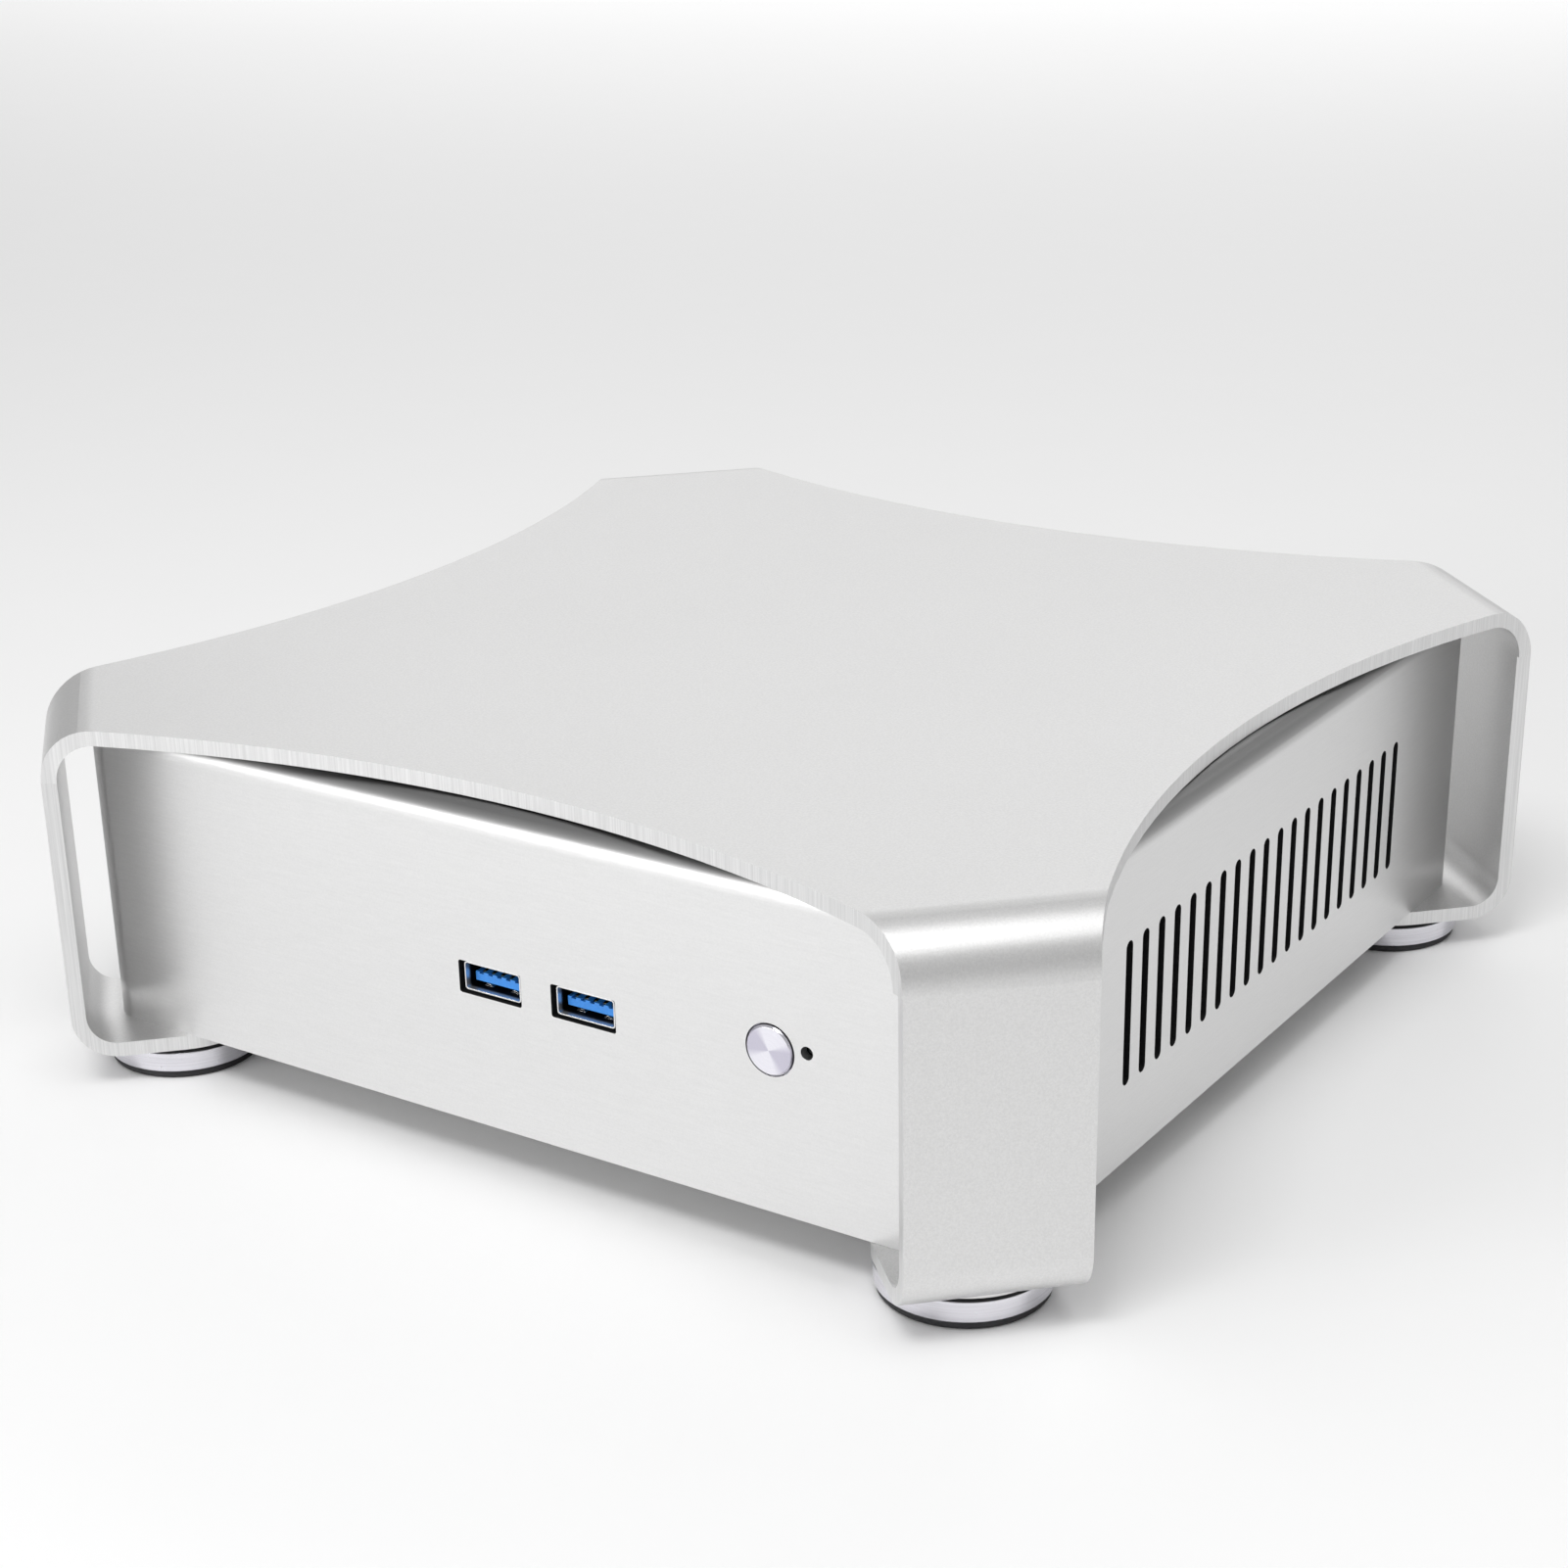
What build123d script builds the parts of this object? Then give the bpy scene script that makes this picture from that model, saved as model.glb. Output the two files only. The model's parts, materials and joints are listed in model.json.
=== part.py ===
from build123d import *

import os
from math import cos, pi, radians, sin, sqrt, tan

os.makedirs("parts", exist_ok=True)

# Small desktop computer: a flat aluminium case hung in a folded top frame with four corner legs.
# Origin: on the table under the middle of the case. -Y is the front, +X the right side seen from the front.
ROOT2 = sqrt(2.0)

# Overall heights
foot_h = 6.7  # table to the underside of a leg's tab
sheet_t = 3.0  # folded frame sheet
case_bottom = foot_h + sheet_t
total_h = 77.3
case_top = total_h - sheet_t

# Folded top frame, the same on all four sides
arc_half = 90.7  # half length of the nominal side arc
arc_reach = 117.2  # distance of the arc's nominal ends from the middle
arc_sagitta = 17.1
leg_plane = 153.6  # outer face of a leg, measured along the diagonal
leg_half_w = 16.3
top_bend_r = 11.2
low_bend_r = 9.1
shoulder_r = 10.0  # plan radius where an arc runs into a leg's edge
foot_reach = 131.6  # foot axis along the diagonal
foot_xy = foot_reach / ROOT2

# Case shell
case_w = 208.0
case_d = 207.0
wall = 2.0
corner_r = 7.0
rear_corner_r = 5.0
roll_r = 5.5
x_out = case_w / 2
y_front = -case_d / 2
y_back = case_d / 2
x_in = x_out - wall
y_in = y_front + wall
top_in = case_top - wall
base_t = 1.5
floor_z = case_bottom + base_t
rear_t = 1.2
rear_y0 = y_back - 2.2
rear_y1 = rear_y0 + rear_t

# Front openings
usb_x = (-1.45, 19.95)
usb_z = 39.6
usb_hole = (14.5, 6.55)
button_x = 60.3
button_z = 41.45
button_hole_r = 5.05
led_x = 67.9
led_z = 42.65
led_hole_r = 1.25

# Side slots
slot_count = 20
slot_y0 = -54.6
slot_pitch = 6.33
slot_z0 = 25.3
slot_z1 = 53.5
slot_w = 2.6

# Feet
foot_r = 16.1
pad_r = 15.5
pad_h = 1.5
pad_plug_r = 13.4
pad_plug_z = 3.0
foot_bore_r = 2.1
m4_r = 1.95
m3_r = 1.45
m2_r = 0.95
fit = 0.05  # radial play of a screw in its thread

# Corner posts and side rails inside the shell
post_w = 16.0
post_top = 68.0
rail_w = 6.0
rail_h = 6.0
rail_half = 80.0
rail_screw_y = (-60.0, 0.0, 60.0)
frame_screw_xy = 70.0

# Power button
cap_r = 4.75
cap_proud = 0.45
cap_shoulder_r = 5.4
cap_shoulder_t = 1.25
stem_r = 1.5
button_travel = 1.2
guide_bore_r = 5.6
guide_wall_y = -94.0
guide_back_y = -92.0
stem_end_y = -90.8
switch_board_y = -88.0

# Mainboard
board_w = 170.0
board_t = 1.6
board_y0 = -70.5
board_z = 17.7
board_top = board_z + board_t
board_holes = [(x, y) for x in (-78.74, 78.74) for y in (-64.15, 90.79)]
io_half = 79.4
io_z0 = 17.05
io_z1 = 61.5
port_face_y = 103.0

# Processor cooler
cpu_x = 10.0
cpu_y = 12.0
cooler_half = 45.0
cooler_screw_xy = 37.5
fin_count = 29
fin_t = 0.8
sink_z0 = 23.4
sink_base_t = 4.0
fin_top = 45.4
fan_half = 46.0
fan_h = 15.0
fan_bore_r = 44.0
fan_top = fin_top + fan_h
fan_screw_xy = 41.25
shaft_r = 1.5
bearing_play = 0.03
blade_count = 9
hub_r = 18.0

# Drive under the case top, between the ears of its bracket
drive_x = -62.5
drive_w = 69.85
drive_l = 100.0
drive_t = 7.0
drive_z0 = 63.4
drive_screw_y = (-36.0, 40.0)
drive_screw_z = drive_z0 + 3.0
ear_gap = 0.1
ear_t = 1.0
ear_x = drive_w / 2 + ear_gap + ear_t

# Front ports
port_depth = 14.0
shell_w, shell_h, shell_t = 13.1, 5.7, 0.3
shell_y0 = y_front + 0.8
shell_y1 = shell_y0 + port_depth
tongue_w, tongue_h = 11.1, 1.84
tongue_z0 = usb_z - 1.55
tongue_y0 = y_front + 2.8
contact_pitch = 2.1

# Their board and its bracket
front_board_x = (-13.0, 32.0)
front_board_y = (y_in + 1.0, -76.0)
front_board_z1 = usb_z - shell_h / 2 - 0.05
front_board_z0 = front_board_z1 - 1.6
front_screw_x = (front_board_x[0] + 2.5, front_board_x[1] - 2.5)
bracket_screw_x = (-5.0, 24.0)
bracket_screw_y = -78.0
web_y = -85.0
front_screw_y = web_y - 3.5
bracket_t = 1.2

# Button guide and its switch board
guide_boss_x = (49.5, 78.5)
guide_z = 41.5

# Back panel
jack_x, jack_z = 58.0, 67.3
antenna_x, antenna_z, antenna_r = (-60.0, -38.0), 67.0, 3.25
lock_x, lock_z = 84.0, 67.2
rear_screw_z = (24.0, 60.0)
vent_x0, vent_pitch, vent_count = -20.0, 7.0, 9

# Rear ports on the mainboard: centre x, width, height
video_port = (-64.0, 15.0, 6.2)
usb_stacks = ((-40.0, 13.3, 15.8), (-18.0, 13.3, 15.8))
usb_level = (4.0, 11.8)
lan_port = (8.0, 16.0, 13.4)
audio_ports = ((34.0, 11.5, 12.0), (48.0, 11.5, 12.0), (62.0, 11.5, 12.0))
rear_ports = (video_port,) + usb_stacks + (lan_port,) + audio_ports

# Memory: two low sockets, one above the other, whose modules lie flat
memory_slot_x = (60.5, 56.0)
memory_y0, memory_y1 = -62.0, 8.0
memory_chip_y = (-56.0, -41.0, -24.0, -9.0)
memory_arm_x = 84.5

# Other things on the mainboard
supply_header = (-42.0, 10.0, -67.0, -57.0)  # x, x, y, y
small_headers = (  # the same, with the height last
    (24.0, 36.0, -67.0, -60.0, 8.0),
    (44.0, 50.0, -67.0, -62.0, 6.0),
    (-70.0, -60.0, -67.0, -60.0, 8.0),
)
chipset_x, chipset_y, chipset_w = -58.0, 44.0, 28.0
supply_row_x = (-24.0, -14.0, -4.0, 6.0, 16.0, 26.0)
coil_y, coil_w, coil_h = 64.0, 7.0, 3.6
can_y, can_r, can_h = 75.5, 3.1, 8.0
cell_x, cell_y, cell_r = -58.0, -22.0, 10.0

# Centre lines of the inside leads
jack_route = [
    (58.0, 88.0, 67.3), (58.0, 75.0, 67.3), (62.0, 52.0, 67.0), (63.0, 16.0, 66.5), (57.0, -18.0, 66.3),
    (38.0, -45.0, 64.5), (10.0, -60.0, 59.0), (-10.0, -62.0, 53.0), (-16.0, -62.0, 42.0), (-16.0, -62.0, 31.8),
]
port_route = [
    (9.5, -76.0, 35.9), (9.5, -70.5, 35.9), (15.0, -64.5, 40.0), (25.0, -62.5, 41.5), (30.0, -63.5, 34.5),
    (30.0, -63.5, 27.3),
]
switch_route = [
    (64.0, -86.4, 44.5), (64.0, -80.0, 44.5), (60.0, -71.0, 42.5), (51.0, -65.0, 39.0), (47.0, -64.5, 33.0),
    (47.0, -64.5, 25.3),
]
drive_route = [
    (-65.0, -44.0, 66.7), (-65.0, -53.0, 66.7), (-65.0, -62.5, 60.0), (-65.5, -66.0, 46.0),
    (-65.0, -63.5, 35.0), (-65.0, -63.5, 27.3),
]


def block(x0, x1, y0, y1, z0, z1):
    centre = ((x0 + x1) / 2, (y0 + y1) / 2, (z0 + z1) / 2)
    return Pos(*centre) * Box(x1 - x0, y1 - y0, z1 - z0)


def rod(x, y, z0, z1, r):
    return Pos(x, y, (z0 + z1) / 2) * Cylinder(r, z1 - z0)


def rod_y(x, z, y0, y1, r):
    return Pos(x, (y0 + y1) / 2, z) * Rot(90, 0, 0) * Cylinder(r, y1 - y0)


def bar_y(x, z, w, h, y0, y1, r):
    """A rounded bar along Y, centred on (x, z)."""
    face = Plane(origin=(x, y0, z), x_dir=(1, 0, 0), z_dir=(0, 1, 0)) * RectangleRounded(w, h, r)
    return extrude(face, y1 - y0)


def hexagon(x, y, z0, z1, across):
    face = Pos(x, y, z0) * RegularPolygon(across / 2, 6, major_radius=False)
    return extrude(face, z1 - z0)


def pan_screw(r, length, head_r, head_h):
    """Screw with its head's seat at z = 0, the head above and the shank below."""
    head = Pos(0, 0, head_h / 2) * Cylinder(head_r, head_h)
    head = fillet(head.edges().group_by(Axis.Z)[-1], head_h * 0.45)
    shank = Pos(0, 0, -length / 2) * Cylinder(r, length)
    shank = chamfer(shank.edges().group_by(Axis.Z)[0], r * 0.3)
    cross_h = head_h * 0.6
    slot = Box(head_r * 1.1, head_r * 0.28, cross_h)
    cross = Pos(0, 0, head_h - cross_h / 2) * (slot + Rot(0, 0, 90) * slot)
    return head + shank - cross


def flat_screw(r, length, head_r, head_h):
    """Countersunk screw with its head's face at z = 0 and the shank below."""
    head = Pos(0, 0, -head_h / 2) * Cone(r, head_r, head_h)
    shank = Pos(0, 0, -(head_h + length) / 2) * Cylinder(r, length - head_h)
    slot = Box(head_r * 1.1, head_r * 0.26, head_h * 0.7)
    cross = Pos(0, 0, -head_h * 0.35) * (slot + Rot(0, 0, 90) * slot)
    return head + shank - cross


def around(half_x, half_y=None):
    """The four corners of a rectangle about the middle."""
    half_y = half_x if half_y is None else half_y
    return [(sx * half_x, sy * half_y) for sx in (-1, 1) for sy in (-1, 1)]


UP = Rot(180, 0, 0)  # a screw driven upwards from below
FROM_BACK = Rot(-90, 0, 0)  # a screw driven forwards, its head towards +Y


def save(name, shape):
    """One STEP file per node; separate solids stay separate."""
    solids = shape if isinstance(shape, list) else [shape]
    flat = [s for item in solids for s in item.solids()]
    whole = flat[0] if len(flat) == 1 else Compound(children=flat)
    whole.label = name
    export_step(whole, f"parts/{name}.step")


# ---------------------------------------------------------------- folded frame
def frame_outline():
    """Plan of the frame: four concave arcs, and straight leg edges past each arc's end."""
    arc_mid = arc_reach - arc_sagitta
    arc_r = (arc_half**2 + arc_sagitta**2) / (2 * arc_sagitta)
    centre = arc_mid + arc_r
    q = centre - leg_half_w * ROOT2
    end_x = (q - sqrt(2 * arc_r**2 - q**2)) / 2
    end_y = -leg_half_w * ROOT2 - end_x
    past = (leg_plane + 5.0 - (end_x - end_y) / ROOT2) / ROOT2
    out_x, out_y = end_x + past, end_y - past
    with BuildSketch() as outline:
        with BuildLine():
            for turn in (0, 90, 180, 270):
                spin = Rot(0, 0, turn)
                pts = [(-out_x, out_y), (-end_x, end_y), (0, -arc_mid), (end_x, end_y), (out_x, out_y)]
                a, b, c, d, e = [(spin * Pos(*p)).position for p in pts]
                Line(a, b)
                ThreePointArc(b, c, d)
                Line(d, e)
                Line(e, (spin * Pos(-out_y, -out_x)).position)
        make_face()
        end_reach = sqrt(end_x**2 + end_y**2)
        shoulders = [v for v in outline.vertices() if abs(v.center().length - end_reach) < 0.1]
        fillet(shoulders, shoulder_r)
    return outline.sketch


def leg_profile():
    """Section through one diagonal: plate, two legs and their inward tabs."""
    def hoop(half, z0, z1, low_r, high_r):
        face = Pos(0, (z0 + z1) / 2) * Rectangle(2 * half, z1 - z0)
        low = face.vertices().group_by(Axis.Y)[0]
        face = fillet(low, low_r)
        return fillet(face.vertices().group_by(Axis.Y)[-1], high_r)

    outer = hoop(leg_plane, foot_h, total_h, low_bend_r, top_bend_r)
    inner = hoop(
        leg_plane - sheet_t, foot_h + sheet_t, total_h - sheet_t, low_bend_r - sheet_t, top_bend_r - sheet_t
    )
    gap = Pos(0, foot_h) * Rectangle(2 * foot_reach, 4 * sheet_t)
    return outer - inner - gap


def make_frame():
    outline = frame_outline()
    profile = leg_profile()
    prism = extrude(outline, total_h + 1)
    plate_reach = leg_plane - top_bend_r
    plate = extrude(Pos(0, 0, case_top) * outline, sheet_t)
    plate = plate & (Rot(0, 0, 45) * block(-plate_reach, plate_reach, -plate_reach, plate_reach, 0, 100))
    frame = plate
    for turn in (45, 135):
        across = Plane(origin=(0, 0, 0), x_dir=(cos(radians(turn)), sin(radians(turn)), 0),
                       z_dir=(sin(radians(turn)), -cos(radians(turn)), 0))
        strip = extrude(across * profile, leg_half_w, both=True)
        wide = extrude(across * profile, leg_half_w + 10, both=True)
        wide = wide & block(-200, 200, -200, 200, total_h - top_bend_r, total_h)
        frame = frame + strip + (wide & prism)
    for x, y in around(foot_xy):
        frame = frame + rod(x, y, foot_h, case_bottom, leg_half_w)
        frame = frame - rod(x, y, foot_h - 1, case_bottom + 1, foot_bore_r)
    for x, y in around(frame_screw_xy):
        frame = frame - rod(x, y, case_top - 1, case_top + 2.2, m3_r + fit)
    return frame


# ---------------------------------------------------------------- case shell and panels
def side_slot(sx, i):
    y = slot_y0 + i * slot_pitch
    x = sx * (x_out - wall / 2)
    r = slot_w / 2
    end = Rot(0, 90, 0) * Cylinder(r, wall + 2)
    mid = block(x - wall, x + wall, y - r, y + r, slot_z0 + r, slot_z1 - r)
    return mid + Pos(x, y, slot_z0 + r) * end + Pos(x, y, slot_z1 - r) * end


def make_shell():
    def hollow(x, y0, y1, z0, z1, r_corner, r_roll):
        body = block(-x, x, y0, y1, z0, z1)
        uprights = [e for e in body.edges().filter_by(Axis.Z) if e.center().Y < 0]
        body = fillet(uprights, r_corner)
        rim = [e for e in body.edges().group_by(Axis.Z)[-1] if e.center().Y < y1 - 0.5]
        return fillet(rim, r_roll)

    shell = hollow(x_out, y_front, y_back, case_bottom, case_top, corner_r, roll_r)
    shell = shell - hollow(x_in, y_in, y_back + 5, case_bottom - 5, top_in, corner_r - wall, roll_r - wall)
    cuts = [side_slot(sx, i) for sx in (-1, 1) for i in range(slot_count)]
    cuts += [bar_y(x, usb_z, *usb_hole, y_front - 1, y_in + 1, 0.5) for x in usb_x]
    cuts.append(rod_y(button_x, button_z, y_front - 1, y_in + 1, button_hole_r))
    cuts.append(rod_y(led_x, led_z, y_front - 1, y_in + 1, led_hole_r))
    cuts += [rod(x, y, top_in - 1, case_top + 1, m3_r + 0.2) for x, y in around(frame_screw_xy)]
    plan = block(-x_out, x_out, y_front, y_back, case_bottom, case_top)
    plan = fillet([e for e in plan.edges().filter_by(Axis.Z) if e.center().Y > 0], rear_corner_r)
    return (shell - cuts) & plan


def corner_post(sx, sy):
    x1 = x_in
    y1 = -y_in if sy < 0 else rear_y0
    cut = corner_r - wall + 0.6 if sy < 0 else 1.5
    pts = [(x1 - post_w, y1 - post_w), (x1, y1 - post_w), (x1, y1 - cut), (x1 - cut, y1), (x1 - post_w, y1)]
    face = make_face(Polyline(*[(sx * px, sy * py) for px, py in pts], close=True))
    post = extrude(face, post_top - floor_z, dir=(0, 0, 1))
    post = Pos(0, 0, floor_z) * post
    post = post - rod(sx * foot_xy, sy * foot_xy, floor_z - 1, floor_z + 11, m4_r + fit)
    if sy > 0:
        for z in rear_screw_z:
            post = post - rod_y(sx * foot_xy, z, rear_y0 - 8, rear_y0 + 1, m3_r + fit)
    return post


def side_rail(sx):
    x0, x1 = sorted((sx * (x_in - rail_w), sx * x_in))
    rail = block(x0, x1, -rail_half, rail_half, floor_z, floor_z + rail_h)
    for y in rail_screw_y:
        rail = rail - rod(sx * (x_in - rail_w / 2), y, floor_z - 1, floor_z + 5, m3_r + fit)
    return rail


def make_base():
    plate = block(-x_in + 0.2, x_in - 0.2, y_in + 0.2, rear_y1, case_bottom, floor_z)
    uprights = [e for e in plate.edges().filter_by(Axis.Z) if e.center().Y < 0]
    plate = fillet(uprights, corner_r - wall)
    cuts = []
    for sx in (-1, 1):
        for y in rail_screw_y:
            x = sx * (x_in - rail_w / 2)
            cuts.append(Pos(x, y, case_bottom + base_t / 2) * Cone(3.0, m3_r, base_t))
            cuts.append(rod(x, y, case_bottom - 1, floor_z + 1, m3_r + fit))
    cuts += [rod(x, y, case_bottom - 1, floor_z + 1, foot_bore_r) for x, y in around(foot_xy)]
    for x, y in board_holes:
        cuts.append(rod(x, y, case_bottom - 1, floor_z + 1, m3_r + fit))
    for i in range(12):
        for y0 in (-35.0, 15.0):
            x = -44.0 + 8.0 * i
            cuts.append(block(x - 1.5, x + 1.5, y0, y0 + 34.0, case_bottom - 1, floor_z + 1))
    for x in bracket_screw_x:
        cuts.append(rod(x, bracket_screw_y, case_bottom - 1, floor_z + 1, m2_r + fit))
    return plate - cuts


def make_rear_panel():
    panel = block(-x_in + 0.2, x_in - 0.2, rear_y0, rear_y1, floor_z, top_in - 0.2)
    tops = [e for e in panel.edges().filter_by(Axis.Y) if e.center().Z > 50]
    panel = fillet(tops, roll_r - wall)
    cuts = [block(-io_half, io_half, rear_y0 - 1, rear_y1 + 1, io_z0, io_z1)]
    cuts.append(rod_y(jack_x, jack_z, rear_y0 - 1, rear_y1 + 1, 4.0))
    cuts += [rod_y(x, antenna_z, rear_y0 - 1, rear_y1 + 1, antenna_r) for x in antenna_x]
    cuts.append(bar_y(lock_x, lock_z, 7.0, 3.2, rear_y0 - 1, rear_y1 + 1, 0.8))
    for i in range(vent_count):
        cuts.append(bar_y(vent_x0 + vent_pitch * i, antenna_z, 3.0, 6.6, rear_y0 - 1, rear_y1 + 1, 1.4))
    for sx in (-1, 1):
        for z in rear_screw_z:
            cuts.append(rod_y(sx * foot_xy, z, rear_y0 - 1, rear_y1 + 1, m3_r + 0.15))
    return panel - cuts


def make_io_shield():
    shield = block(-io_half - 2.4, io_half + 2.4, rear_y0 - 0.4, rear_y0, io_z0 - 2.2, io_z1 + 0.7)
    cuts = []
    for x, w, h in rear_ports:
        half = w / 2 + 0.25
        cuts.append(block(x - half, x + half, rear_y0 - 1, rear_y0 + 1, board_top - 0.2, board_top + h + 0.25))
    dimples = [rod_y(-70.0 + 6.0 * i, 50.0, rear_y0 - 1, rear_y0 + 1, 1.6) for i in range(24)]
    return shield - cuts - dimples


# ---------------------------------------------------------------- feet
def foot_disc():
    """Turned disc: flat top, a bright tapered flank and a recess for the rubber pad."""
    with BuildSketch(Plane.XZ) as half:
        with BuildLine():
            Polyline((0, pad_plug_z + 0.2), (pad_plug_r + 0.1, pad_plug_z + 0.2), (pad_plug_r + 0.1, pad_h),
                     (foot_r - 0.55, pad_h), (foot_r - 0.2, pad_h + 0.35), (foot_r, foot_h - 1.0),
                     (foot_r - 0.6, foot_h - 0.35), (foot_r - 1.2, foot_h), (0, foot_h), close=True)
        make_face()
    disc = revolve(half.sketch, Axis.Z)
    disc = disc - rod(0, 0, 0, 4.6, 4.2)
    return disc - rod(0, 0, 0, foot_h + 1, foot_bore_r)


def foot_pad():
    """Rubber ring that the case stands on, plugged into the disc."""
    with BuildSketch(Plane.XZ) as half:
        with BuildLine():
            Polyline((4.6, 0), (pad_r - 0.5, 0), (pad_r, 0.5), (pad_r, pad_h), (pad_plug_r, pad_h),
                     (pad_plug_r, pad_plug_z + 0.2), (4.6, pad_plug_z + 0.2), close=True)
        make_face()
    return revolve(half.sketch, Axis.Z)


# ---------------------------------------------------------------- power button and status light
def make_cap():
    front = rod_y(button_x, button_z, y_front - cap_proud, y_in + 0.05, cap_r)
    front = chamfer(front.edges().group_by(Axis.Y)[0], 0.35)
    shoulder = rod_y(button_x, button_z, y_in + 0.05, y_in + 0.05 + cap_shoulder_t, cap_shoulder_r)
    stem = rod_y(button_x, button_z, y_in + cap_shoulder_t, stem_end_y, stem_r)
    return front + shoulder + stem


def make_spring():
    """Compression spring round the stem, between the cap's shoulder and the guide's back wall."""
    wire = 0.25
    coil_r = 3.0
    y0 = y_in + 0.05 + cap_shoulder_t + wire + 0.02
    height = guide_wall_y - wire - 0.02 - y0
    turns = 5
    path = Helix(height / turns, height, coil_r)
    section = Plane(origin=path @ 0, z_dir=path % 0) * Circle(wire)
    coil = sweep(section, path=path, is_frenet=True)
    return Pos(button_x, y0, button_z) * Rot(-90, 0, 0) * coil


def make_guide():
    flange = bar_y(64.0, guide_z, 34.0, 15.0, y_in, y_in + 2.0, 2.0)
    tube = rod_y(button_x, button_z, y_in, guide_back_y, 7.2)
    guide = flange + tube
    for x in guide_boss_x:
        guide = guide + rod_y(x, guide_z, y_in, switch_board_y, 2.6)
    guide = guide - rod_y(button_x, button_z, y_in - 1, guide_wall_y, guide_bore_r)
    guide = guide - rod_y(button_x, button_z, guide_wall_y - 1, guide_back_y + 1, stem_r + 0.1)
    guide = guide - rod_y(led_x, led_z, y_in - 1, guide_back_y + 8, 1.65)
    for x in guide_boss_x:
        guide = guide - rod_y(x, guide_z, switch_board_y - 6, switch_board_y + 1, m2_r + fit)
    return guide


def make_switch_board():
    board = block(45.5, 82.5, switch_board_y, switch_board_y + 1.6, 34.0, 49.0)
    for x in guide_boss_x:
        board = board - rod_y(x, guide_z, switch_board_y - 1, switch_board_y + 3, m2_r + 0.15)
    return board


def make_switch():
    face_y = stem_end_y + button_travel + 0.05
    body = block(button_x - 3, button_x + 3, face_y + 0.4, switch_board_y, button_z - 3, button_z + 3)
    return body + rod_y(button_x, button_z, face_y, face_y + 0.5, 1.6)


def make_led():
    lens = rod_y(led_x, led_z, y_in + 1.0, y_in + 4.5, 1.5)
    lens = lens + Pos(led_x, y_in + 1.0, led_z) * Sphere(1.5)
    rim = rod_y(led_x, led_z, y_in + 4.0, y_in + 4.6, 1.6)
    leg = block(led_x - 0.25, led_x + 0.25, y_in + 4.5, switch_board_y, led_z - 0.25, led_z + 0.25)
    return lens + rim + [Pos(dx, 0, 0) * leg for dx in (-0.8, 0.8)]


# ---------------------------------------------------------------- front ports
def front_port_shell(x):
    """Folded steel shell with two spring fingers in its floor."""
    shell = bar_y(x, usb_z, shell_w, shell_h, shell_y0, shell_y1, 0.7)
    inside_w, inside_h = shell_w - 2 * shell_t, shell_h - 2 * shell_t
    shell = shell - bar_y(x, usb_z, inside_w, inside_h, shell_y0 - 1, shell_y1 - shell_t, 0.45)
    for dx in (-3.1, 3.1):
        bump = rod_y(x + dx, usb_z - shell_h / 2 - 0.55, shell_y0 + 2.6, shell_y0 + 4.2, 1.3)
        shell = shell + (bump & block(x - 6, x + 6, shell_y0, shell_y1, usb_z - shell_h / 2, usb_z))
    return shell


def groove_x(x):
    """Centres of the five contacts of the port at x."""
    return [x + (i - 2) * contact_pitch for i in range(5)]


def front_port_tongue(x):
    """Plastic core: a back block and the tongue with five contact grooves on top."""
    y1 = shell_y1 - shell_t
    inner_w, inner_h = shell_w - 2 * shell_t - 0.1, shell_h - 2 * shell_t - 0.1
    core = bar_y(x, usb_z, inner_w, inner_h, y1 - 2.5, y1, 0.45)
    top = tongue_z0 + tongue_h
    core = core + block(x - tongue_w / 2, x + tongue_w / 2, tongue_y0, y1 - 2.5, tongue_z0, top)
    return core - [block(gx - 0.5, gx + 0.5, tongue_y0 - 1, y1 - 2.5, top - 0.4, top + 1) for gx in groove_x(x)]


def front_port_contacts(x):
    y1 = shell_y1 - shell_t - 2.6
    z1 = tongue_z0 + tongue_h - 0.1
    return [block(gx - 0.35, gx + 0.35, tongue_y0 + 0.9, y1, z1 - 0.3, z1) for gx in groove_x(x)]


def make_front_board():
    board = block(*front_board_x, *front_board_y, front_board_z0, front_board_z1)
    for x in front_screw_x:
        board = board - rod(x, front_screw_y, front_board_z0 - 1, front_board_z1 + 1, m2_r + 0.15)
    return board


def make_front_bracket():
    x0, x1 = front_board_x
    web = block(x0, x1, web_y - bracket_t, web_y, floor_z, front_board_z0)
    shelf = block(x0, x1, front_board_y[0] + 1, web_y, front_board_z0 - bracket_t, front_board_z0)
    shoe = block(x0, x1, web_y - bracket_t, web_y + 11, floor_z, floor_z + bracket_t)
    bracket = web + shelf + shoe
    inside = [e for e in bracket.edges().filter_by(Axis.X)
              if abs(e.center().Y - web_y) < 0.01 and abs(e.center().Z - floor_z - bracket_t) < 0.01]
    bracket = fillet(inside, 1.0)
    for x in front_screw_x:
        bracket = bracket - rod(x, front_screw_y, front_board_z0 - 2, front_board_z0 + 1, m2_r + fit)
    for x in bracket_screw_x:
        bracket = bracket - rod(x, bracket_screw_y, floor_z - 1, floor_z + 2, m2_r + 0.15)
    return bracket - block(x0 + 12, x1 - 12, web_y - 2, web_y + 1, 20.0, 30.0)


def front_bracket_screws():
    small = pan_screw(m2_r, 2.8, 1.9, 1.3)
    screws = [Pos(x, front_screw_y, front_board_z1) * small for x in front_screw_x]
    low = pan_screw(m2_r, 2.7, 1.9, 1.3)
    return screws + [Pos(x, bracket_screw_y, floor_z + bracket_t) * low for x in bracket_screw_x]


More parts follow.
